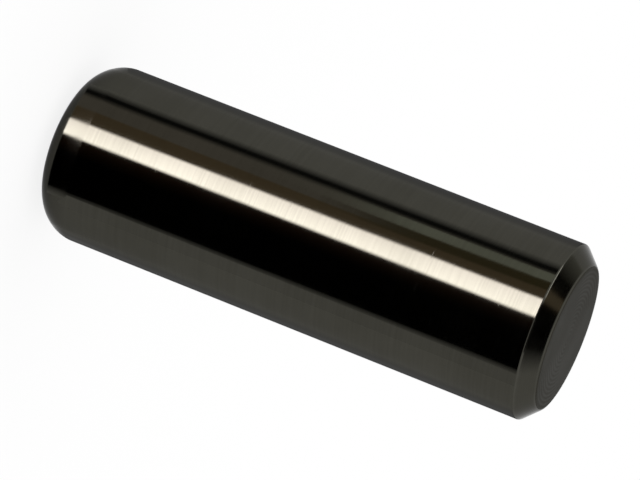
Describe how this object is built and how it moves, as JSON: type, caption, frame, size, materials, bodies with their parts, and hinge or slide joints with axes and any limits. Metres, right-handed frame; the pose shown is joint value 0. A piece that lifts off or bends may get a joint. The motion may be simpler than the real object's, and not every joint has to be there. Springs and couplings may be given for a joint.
{
  "type": "dowel pin",
  "caption": "Solid hardened steel dowel pin with a ground wall, a chamfered end and a crowned end, for lining up plates in reamed holes.",
  "frame": {"origin": "centre of the flat on the crowned end, which the pin stands on", "axes": "+Z along the pin's axis, from the crowned end to the chamfered end"},
  "size_m": [0.006, 0.006, 0.018],
  "materials": {
    "hardened_steel": "dark hardened alloy steel, centreless ground"
  },
  "bodies": {
    "root": {"dowel_pin": "hardened_steel"}
  },
  "joints": []
}
